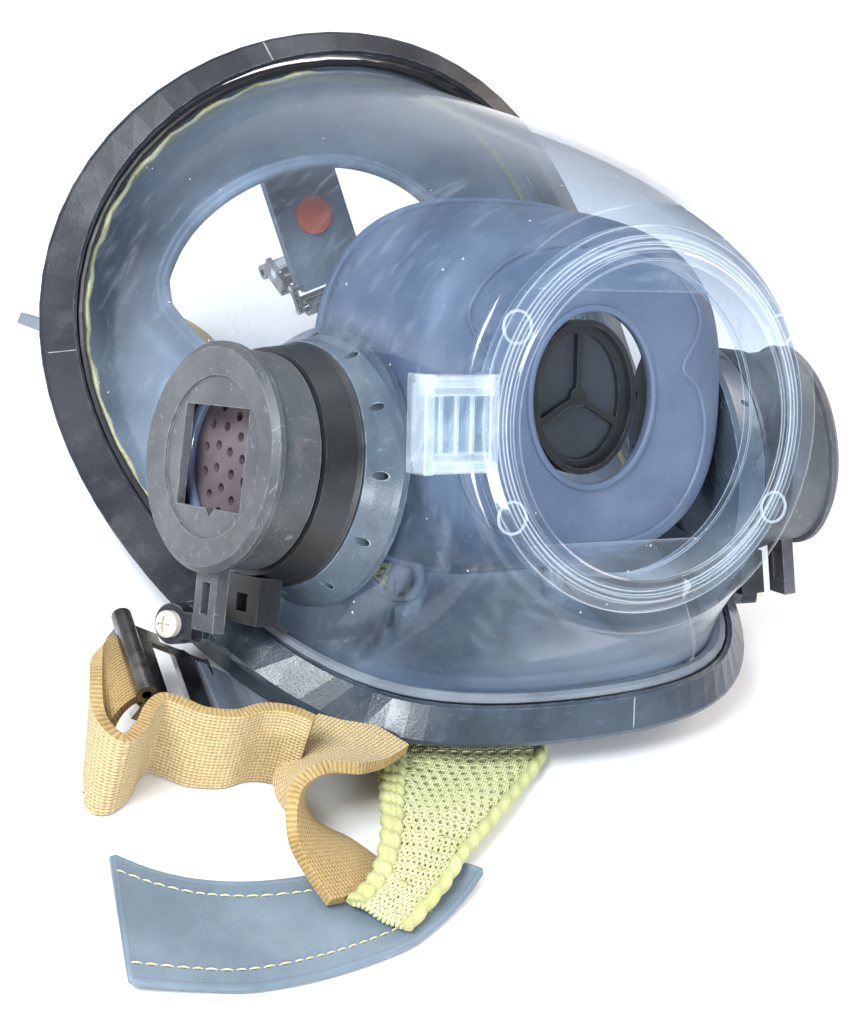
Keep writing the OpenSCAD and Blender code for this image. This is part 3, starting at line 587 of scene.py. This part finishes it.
# latch box: two side walls, top and bottom bars, and chamfered blocks
LATCH = [("wall_left", (-56, -3.2, -10), (2.2, 8, 20)), ("wall_right", (-41.2, -3.2, -10), (2.2, 7, 20)),
         ("bar_top", (-55, -3.0, 5.6), (15, 6.5, 4.2)), ("bar_bottom", (-55, -3.0, -9.8), (15, 6.5, 4.2)),
         ("floor", (-55, 3.6, -8), (15, 1.2, 16)), ("rib_a", (-52, -1.6, -6), (1.1, 5.6, 12)),
         ("rib_b", (-48.4, -1.6, -6), (1.1, 5.6, 12)), ("rib_c", (-44.8, -1.6, -6), (1.1, 5.6, 12)),
         ("step_top", (-54, -3.1, 7.2), (13, 1.4, 2.2)), ("step_bottom", (-54, -3.1, -9.4), (13, 1.4, 2.2))]
for name, corner, size in LATCH:
    ride(box_mesh("latch_" + name, corner, size, mask, clear_latch))
for name, (x, z) in {"a": (-33, 19), "b": (33, 19), "c": (-33, -19), "d": (33, -19)}.items():
    ride(lathe("ejector_ring_" + name, [
        (3.0, -0.05), (3.1, 0.3), (3.5, 0.3), (3.6, -0.05)],
        lambda a, b, c, x=x, z=z: mask(x * 1.02 + a, -c - 0.3, z * 1.02 + b), clear_port, steps=40))
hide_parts("visor")

# ---------------------------------------------------------------- face seal
SEAL = [
    (0, (-3, -17), (-8, -27), (-15, -31), (-22, -27), (-24, -21)),
    (42, (-3, -17), (-8, -27), (-15, -29), (-23, -24), (-26, -16)),
    (52, (-3, -17), (-8, -26), (-17, -28), (-24, -24), (-28, -17)),
    (60, (-3, -16), (-9, -23), (-23, -26), (-38, -24), (-48, -17)),
    (68, (-3, -16), (-9, -22), (-23, -25), (-42, -23), (-52, -16)),
    (84, (-3, -15), (-9, -20), (-22, -22), (-40, -21), (-52, -14)),
    (100, (-3, -14), (-9, -18), (-20, -20), (-34, -19), (-42, -14)),
    (120, (-3, -16), (-8, -21), (-17, -27.5), (-28, -30), (-35, -24)),
    (150, (-3, -17), (-9, -24), (-20, -33), (-32, -37), (-39, -30)),
    (180, (-3, -17), (-9, -25), (-20, -36), (-32, -41), (-39, -34))]


def seal_at(t, point, axis):
    u = fold(t)
    for a, b in zip(SEAL, SEAL[1:]):
        if u <= b[0]:
            f = (u - a[0]) / (b[0] - a[0])
            return a[point][axis] * (1 - f) + b[point][axis] * f
    return SEAL[-1][point][axis]


def seal_smooth(t, point, axis):
    return sum(w * seal_at(t + d, point, axis) for d, w in ((-4, 0.25), (0, 0.5), (4, 0.25)))


def ease(x):
    x = min(max(x, 0), 1)
    return x * x * (3 - 2 * x)


rows = []
for k in range(180):
    t = 2 * k
    depth = 7.6 + 5 * ease((fold(t) - 104) / 4)
    path = [(0.2, -depth)] + [(seal_smooth(t, p, 0), seal_smooth(t, p, 1)) for p in range(1, 6)]
    path = spline(path, 22)
    row = []
    for q, (i, j) in enumerate(path):
        ripple = 0.5 * math.sin(math.radians(t * 5)) * math.sin(q / 22 * math.pi)
        row.append(mask(*rim(t, i, j + ripple)))
    rows.append(row)
verts, faces = grid(rows, close_rows=True)
seal = ride(mesh_object("face_seal_skin", verts, faces, seal_blue))
modifier(seal, "SOLIDIFY", thickness=0.0024, offset=1.0)
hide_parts("face_seal")
lip = ride(tube("face_seal_lip", [mask(*rim(2 * k, seal_smooth(2 * k, 5, 0), seal_smooth(2 * k, 5, 1)))
                                  for k in range(180)], 0.0015, seal_blue, closed=True))

smear = [mask(*rim(t, -3.9 + 0.5 * math.sin(t * 0.9), -3.3)) for t in range(242, 356, 2)]
ride(tube("sealant_smear", smear, 0.0009, sealant, sides=8,
                  taper=lambda f: 0.45 + 0.55 * math.sin(math.pi * f) + 0.2 * math.sin(f * 61)))

# thin parting lines across the clamp frame, in light grey: a painted highlight along each ridge
SECTION = [(0.8, -0.15), (3.4, -1.1), (7.2, -2.3), (8.3, -3.2)]
for n, t in enumerate((347, 294, 232, 166)):
    half_turn = fold(t)
    w = 9 - 2.4 * math.exp(-(half_turn / 48) ** 2)
    section = [(i * w / 9, j) for i, j in SECTION]
    line = [mask(*rim(t, i, j + 0.12)) for i, j in spline(section, 10)]
    ride(tube(f"frame_parting_line_{n + 1}", line, 0.00022, frame_seam_highlight, sides=6))

# ---------------------------------------------------------------- nose cup
CUP = [(22, 16, 23, -16), (22.6, 23, 29, -22), (24.2, 32, 36, -29), (29, 40, 41, -33), (38, 42, 44, -36),
       (52, 44.5, 46, -38), (66, 46, 47, -40)]


def boxy(v, p):
    return math.copysign(abs(v) ** p, v)


rows = []
cup_profile = spline(CUP, 30)
for k in range(120):
    a = math.radians(3 * k)
    row = []
    for n, (y, w, top, bottom) in enumerate(cup_profile):
        p = 0.98 - 0.24 * min(1, n / 10)
        mid, half = (top + bottom) / 2, (top - bottom) / 2
        waist = 1.0
        row.append(mask(w * boxy(math.sin(a), p) * waist, y, mid + half * boxy(math.cos(a), p)))
    rows.append(row)
verts, faces = grid(rows, close_rows=True)
# inner face near-black as painted shade, outer face and rims in the blue rubber
cup = ride(mesh_object("nose_cup_skin", verts, faces, cup_painted_shade))
cup.data.materials.append(cup_blue)
modifier(cup, "SOLIDIFY", thickness=0.002, offset=1.0, material_offset=1, material_offset_rim=1)
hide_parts("nose_cup")


def cup_front(a, f):
    """A point on the cup's front face: f 0 at the mouth, 1 at the shoulder."""
    n = f * 15
    i = int(n)
    g = n - i
    y, w, top, bottom = (cup_profile[i][q] * (1 - g) + cup_profile[min(i + 1, 30)][q] * g for q in range(4))
    p = 0.98 - 0.24 * min(1, n / 10)
    mid, half = (top + bottom) / 2, (top - bottom) / 2
    return (w * boxy(math.sin(a), p), y, mid + half * boxy(math.cos(a), p))


def rib_path(f0, dip, lift):
    out = []
    for k in range(144):
        a = 2 * math.pi * k / 144
        d = math.degrees(a)
        pinch = math.exp(-((d - 80) / 9) ** 2) + math.exp(-((d - 280) / 9) ** 2)
        x, y, z = cup_front(a, f0 - dip * pinch)
        out.append(mask(x, y - lift, z))
    return out


ride(tube("nose_cup_rib", rib_path(0.72, 0.3, 0.0), 0.0006, cup_blue, closed=True))
ride(tube("nose_cup_mouth_bead", rib_path(0.02, 0.0, 0.1), 0.0008, cup_blue, closed=True))
cup_rim_path = [mask(cup_profile[30][1] * boxy(math.sin(a), 0.74), 66,
                     3.5 + 43.5 * boxy(math.cos(a), 0.74)) for a in
                (2 * math.pi * k / 120 for k in range(120))]
ride(tube("nose_cup_rim_bead", cup_rim_path, 0.0013, cup_blue, closed=True))


# ---------------------------------------------------------------- woven and knitted pieces
def knit(name, dark, light, rib=0.85, stitch=0.95, fuzz=0.6):
    """Knitted elastic. The mesh's UVs are millimetres across and along."""
    m = Mat(name)
    u, v = m.uv()
    col = m.math("MULTIPLY", u, 1 / rib)
    frac = m.math("FRACT", col)
    lean = m.math("ABSOLUTE", m.math("SUBTRACT", frac, 0.5))
    vee = m.math("SINE", m.math("MULTIPLY", m.math("ADD", m.math("MULTIPLY", v, 1 / stitch), lean),
                                2 * math.pi))
    ridge = m.math("SINE", m.math("MULTIPLY", frac, math.pi))
    height = m.math("ADD", m.math("MULTIPLY", vee, 0.35), ridge)
    fluff = m.noise(900, 4, 0.7)
    height = m.math("ADD", height, m.math("MULTIPLY", fluff, 1.4))
    shade = m.band(height, 0.5, 2.2)
    tone = m.mix(shade, dark, light)
    tone = m.mix(m.band(m.noise(60, 4, 0.6), 0.45, 0.75, 0.0, 0.5), tone, tuple(c * 0.72 for c in light))
    tone = m.mix(m.band(m.noise(2400, 2, 0.5), 0.62, 0.72, 0.0, fuzz), tone,
                 tuple(min(1, c * 1.5) for c in light))
    m.set(color=tone, rough=0.95, sheen=0.12, sheen_rough=0.5, spec=0.1, normal=m.bump(height, 0.6, 0.0004))
    return m.m


strap_tan = knit("strap_knit", (0.34, 0.23, 0.1), (0.68, 0.54, 0.3))
# a darker copy of the strap knit: painted shade on one face of the cheek straps
strap_knit_shaded = knit("strap_knit_painted_shade", (0.24, 0.145, 0.05), (0.5, 0.36, 0.155))
net_green = knit("net_knit", (0.42, 0.45, 0.2), (0.86, 0.86, 0.5), rib=0.6, stitch=0.8, fuzz=0.3)
net_cord = knit("net_edge_knit", (0.42, 0.44, 0.18), (0.88, 0.86, 0.52), rib=0.9, stitch=1.1, fuzz=0.3)


def band_cloth():
    m = Mat("band_cloth")
    u, v = m.uv()
    warp, weft = (m.math("SINE", m.math("MULTIPLY", w, 14)) for w in (u, v))
    weave = m.math("MULTIPLY", warp, weft)
    crease = m.noise(55, 3, 0.6, (1, 3, 1, 0, 0, 0.5))
    tone = m.mix(m.band(m.noise(35, 4), 0.3, 0.7), (0.1, 0.14, 0.18), (0.17, 0.225, 0.28))
    tone = m.mix(m.band(m.noise(120, 5, 0.7), 0.58, 0.75, 0.0, 0.5), tone, (0.2, 0.2, 0.19))
    height = m.math("ADD", m.math("MULTIPLY", weave, 0.25), m.math("MULTIPLY", crease, 3.0))
    m.set(color=tone, rough=m.band(m.noise(90, 3), 0.3, 0.7, 0.42, 0.62), sheen=0.15,
          normal=m.bump(height, 0.35, 0.0005))
    return m.m


def thread_mat():
    m = Mat("thread")
    m.set(color=m.mix(m.noise(800, 2), (0.42, 0.39, 0.22), (0.7, 0.66, 0.42)), rough=0.85,
          normal=m.bump(m.noise(2500, 2), 0.4, 0.0002))
    return m.m


def cloth_strip(name, left, right, thick, material, across=12, along=90, inner=None):
    """A strip between two edge lines (lists of table points), with rounded edges."""
    L, R = spline(left, along), spline(right, along)
    rows, uvs = [], []
    run = 0.0
    prev = None
    for a, b in zip(L, R):
        a, b = Vector(a), Vector(b)
        mid = (a + b) / 2
        run += (mid - prev).length if prev else 0
        prev = mid
        w = (b - a).length
        row = []
        for k in range(across + 1):
            f = k / across
            p = a + (b - a) * f
            row.append(table(*p))
            uvs.append(((f - 0.5) * w, run))
        rows.append(row)
    verts, faces = grid(rows)
    ob = mesh_object(name, verts, faces, material, uvs=uvs)
    if inner:
        ob.data.materials.append(inner)
    modifier(ob, "SOLIDIFY", thickness=thick * MM, offset=0.0, material_offset=1 if inner else 0)
    modifier(ob, "BEVEL", width=thick * 0.4 * MM, segments=3, limit_method="ANGLE", angle_limit=0.9)
    return ob, L, R


def edges_from(stops, width):
    """Left and right edge lines from (centre, across direction[, width scale]) stops."""
    left, right = [], []
    for s in stops:
        c, d = Vector(s[0]), Vector(s[1]).normalized()
        w = width * (s[2] if len(s) > 2 else 1) / 2
        left.append(tuple(c - d * w))
        right.append(tuple(c + d * w))
    return left, right


UP = (0, 0, 1)
STRAPS = {
    "strap_cheek_left": ([((-91, 16.5, 12.2), (0.1, 1, 0)), ((-97.5, 15, 16.6), (0.1, 1, 0)),
                          ((-104, 10, 17), (0.12, 0.95, 0.15)), ((-108.5, 2, 13.5), (0.15, 0.75, 0.6)),
                          ((-110.5, -5.5, 10.8), (0.05, 0.3, 1)), ((-107.5, -9.8, 10.3), UP),
                          ((-102.5, -6.5, 10.3), UP), ((-98.8, -1.5, 10.3), UP), ((-95, 1.2, 10.3), UP),
                          ((-91.3, -1, 10.3), UP), ((-87.5, -4.2, 10.3), UP), ((-81, -5.8, 10.3), UP),
                          ((-74.5, -4.6, 10.3), UP), ((-69, -6, 10.3), UP), ((-65, -9.5, 10.3), UP)], 20),
    "strap_cheek_right": ([((-47, -4.5, 11.6), (0.5, -0.86, 0.05)), ((-54, -8.5, 11.2), (0.5, -0.85, 0.15)),
                           ((-62, -13, 10.8), (0.45, -0.75, 0.45)), ((-68.5, -17, 10.4), (0.1, -0.55, 0.83)),
                           ((-71, -23.5, 9.2), (-0.45, -0.3, 0.84)),
                           ((-68.6, -30.5, 6.0), (-0.85, -0.25, 0.46)),
                           ((-65, -37.5, 3.6), (-0.95, -0.2, 0.22)),
                           ((-62.5, -44, 2.8), (-0.97, -0.15, 0.1))], 20),
}
for name, (stops, width) in STRAPS.items():
    left, right = edges_from(stops, width)
    # the cheek straps' first face takes the darker painted-shade knit, the other face the tan knit
    ob, L, R = cloth_strip(name + "_cloth", left, right, 2.6, strap_knit_shaded, across=10, along=150,
                          inner=strap_tan)
    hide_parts(name)
    length = sum((Vector(a) - Vector(b)).length for a, b in zip(L, L[1:]))
    length = (length + sum((Vector(a) - Vector(b)).length for a, b in zip(R, R[1:]))) / 2
    if name == "strap_cheek_left":
        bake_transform(ob)
    else:
        ride(ob)

for name in ("strap_top", "strap_temple_left", "strap_temple_right"):
    side = -1 if name.endswith("left") else 1
    if name == "strap_top":
        stops = [((5, 163, 1.5), (1, 0, 0)), ((4, 154, 1.5), (1, 0, 0)), ((3, 142, 1.5), (1, 0, 0)),
                 ((2, 130, 1.5), (1, 0, 0)), ((0, 108, 1.8), (1, 0, 0))]
    else:
        bar = (side * 0.755, 0.656, 0)
        stops = [((side * 57.2, 167.6, 7.7), bar), ((side * 55.6, 169.7, 7.4), bar),
                 ((side * 51.6, 174.3, 4.8), bar), ((side * 48.3, 178, 2), bar)]
        for deg, scale in ((75, 0.78), (110, 0.74), (145, 0.78), (180, 1)):
            out = Vector((side * math.cos(math.radians(deg)), math.sin(math.radians(deg)), 0))
            stops.append((Vector((side * 39.7, 171.3, 1.5)) + 10.5 * out, side * out, scale))
        stops += [((side * (29 - (160 - y) / 9), y, 1.5), (-1, 0, 0)) for y in (160, 148, 136, 126)]
    left, right = edges_from(stops, 20)
    ob, L, R = cloth_strip(name + "_cloth", left, right, 2.3, strap_tan, across=8, along=90)
    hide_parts(name)
    length = sum((Vector(a) + Vector(c) - Vector(b) - Vector(d)).length / 2
                 for a, b, c, d in zip(L, L[1:], R, R[1:]))
    if name == "strap_top":
        ride(ob)
    else:
        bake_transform(ob)

# head net with real holes
NET_L = [(-24, 100, 1.5), (-31, 60, 1.5), (-36, 30, 1.5), (-38.5, 14, 1.5), (-40, 3, 1.7), (-42, -5, 2.8),
         (-45.5, -13, 4.2), (-49, -21, 5.2), (-54, -32, 5.9), (-60, -41, 5.2), (-68, -46.8, 3.9)]
NET_R = [(14, 100, 1.5), (12, 60, 1.5), (9, 30, 1.5), (6, 14, 1.5), (2.5, 3, 1.6), (-2.7, -9.4, 2.0),
         (-13.4, -19, 3.2), (-25.6, -28.8, 5.0), (-37.4, -37.6, 5.0), (-47.4, -46.5, 4.2), (-59, -54.5, 3.0)]


def net_mesh():
    pitch = 3.05
    fine = 400
    L, R = spline(NET_L, fine), spline(NET_R, fine)
    run = [0.0]
    for i in range(fine):
        a = (Vector(L[i]) + Vector(R[i])) / 2
        b = (Vector(L[i + 1]) + Vector(R[i + 1])) / 2
        run.append(run[-1] + (b - a).length)
    total = run[-1]
    n_rows = int(total / (pitch * 0.87))

    def surface(f, s):
        s = min(max(s, 0), 1) * total
        lo = 0
        hi = fine
        while hi - lo > 1:
            mid = (lo + hi) // 2
            if run[mid] <= s:
                lo = mid
            else:
                hi = mid
        g = (s - run[lo]) / max(run[hi] - run[lo], 1e-9)
        a = Vector(L[lo]).lerp(Vector(L[hi]), g)
        b = Vector(R[lo]).lerp(Vector(R[hi]), g)
        sag = 0.35 * math.sin(f * 9 + s * 0.11) + 0.25 * math.sin(s * 0.23 + f * 4)
        p = a.lerp(b, f)
        p.z = max(1.2, p.z + sag * min(1, p.z / 3))
        return p, (b - a).length

    cols = 12
    verts, uvs, faces = [], [], []
    r = random.Random(3)
    for i in range(n_rows):
        for j in range(cols):
            shift = 0.5 if i % 2 else 0.0
            c_f, c_s = (j + 0.5 + shift * 0.9) / (cols + 0.45), (i + 0.5) / n_rows
            hf, hs = 0.5 / (cols + 0.45), 0.5 / n_rows
            base = len(verts)
            k_in, k_out = [], []
            big = r.uniform(0.6, 0.78) * (1 - 0.55 * max(0, c_s - 0.72) / 0.28 - 0.3 * max(0, 0.3 - c_f))
            for q in range(12):
                a = 2 * math.pi * q / 12
                x, y = math.cos(a), math.sin(a)
                m = max(abs(x), abs(y))
                k_out.append((c_f + hf * x / m, c_s + hs * y / m))
                k_in.append((c_f + hf * big * x, c_s + hs * big * y))
            for ff, ss in k_out + k_in:
                p, w = surface(ff, ss)
                verts.append(table(*p))
                uvs.append(((ff - 0.5) * w, ss * total))
            for q in range(12):
                faces.append((base + q, base + (q + 1) % 12, base + 12 + (q + 1) % 12, base + 12 + q))
    ob = mesh_object("head_net_cloth", verts, faces, net_green, uvs=uvs)
    return ob, surface, total


net, net_surface, net_total = net_mesh()
modifier(net, "WELD", merge_threshold=0.00025)
modifier(net, "SOLIDIFY", thickness=0.0012, offset=0.0)
modifier(net, "BEVEL", width=0.0003, segments=2, limit_method="ANGLE", angle_limit=0.9)
ride(net)
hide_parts("head_net")
for name, f in (("head_net_edge_left", 0.0), ("head_net_edge_inner", 0.05), ("head_net_edge_third", 0.1),
                ("head_net_edge_right", 1.0)):
    path = []
    for k in range(260):
        s = k / 259
        p, _ = net_surface(f, s)
        swing = k * 0.9
        path.append(table(p.x + 0.35 * math.sin(swing), p.y, p.z + 0.35 * math.cos(swing) + 0.4))
    ride(tube(name, path, 0.0014, net_cord, sides=8))

# stitched band
BAND_T = [(-111.5, -26, 3.4), (-104, -29.8, 1.6), (-95, -33.5, 1.0), (-83, -36, 1.0), (-67, -36, 1.0),
          (-55, -33.5, 1.0), (-47, -33.5, 1.0), (-41, -36.5, 1.2), (-36.5, -41, 2.6)]
BAND_B = [(-117, -56, 2.2), (-104, -59, 1.2), (-93, -61, 1.0), (-77, -60.3, 1.0), (-60, -57, 1.0),
          (-52, -53.5, 1.0), (-46, -50, 1.2), (-40, -46, 2.0), (-35.6, -42.6, 3.4)]
band, BL, BR = cloth_strip("stitched_band_cloth", BAND_T, BAND_B, 1.5, band_cloth(), across=14, along=110)
ride(band)
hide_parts("stitched_band")
band_rim = [(Vector(p) + Vector((0, 0, 0.1))) for p in BL] + [Vector(p) for p in reversed(BR)]
ride(tube("band_piped_edge", [table(*p) for p in band_rim], 0.0009,
                               band.data.materials[0], sides=8, closed=True))
thread = thread_mat()
for name, f in (("band_stitch_upper", 0.15), ("band_stitch_lower", 0.85)):
    verts, faces = [], []
    n = len(BL)
    travelled, start = 0.0, None
    prev = None
    for i in range(n):
        a, b = Vector(BL[i]), Vector(BR[i])
        w = (b - a).length
        if w < 12:
            break
        p = a.lerp(b, 3.8 / w if f < 0.5 else 1 - 3.8 / w)
        if prev is not None:
            step = p - prev
            travelled += step.length
        if start is None:
            start = p
        if travelled >= 2.3:
            base = len(verts)
            e = start.lerp(p, 0.82)
            run = (e - start).normalized()
            side = Vector((-run.y, run.x, 0))
            for q in (0.0, 0.25, 0.5, 0.75, 1.0):
                c = start.lerp(e, q)
                rise = 0.75 + 0.32 * math.sin(q * math.pi)
                half = 0.34 * math.sin(max(0.12, min(q, 1 - q) + 0.12) * math.pi / 1.24)
                for dx, dz in ((-half, 0), (0, 0.28), (half, 0), (0, -0.3)):
                    verts.append(table(c.x + side.x * dx, c.y + side.y * dx, c.z + rise + dz))
            for q in range(4):
                for s in range(4):
                    o, o2 = base + q * 4, base + (q + 1) * 4
                    faces.append((o + s, o + (s + 1) % 4, o2 + (s + 1) % 4, o2 + s))
            start = p
            travelled = 0.0
        prev = p
    ob = ride(mesh_object(name, verts, faces, thread))
    modifier(ob, "SUBSURF", levels=1, render_levels=1)
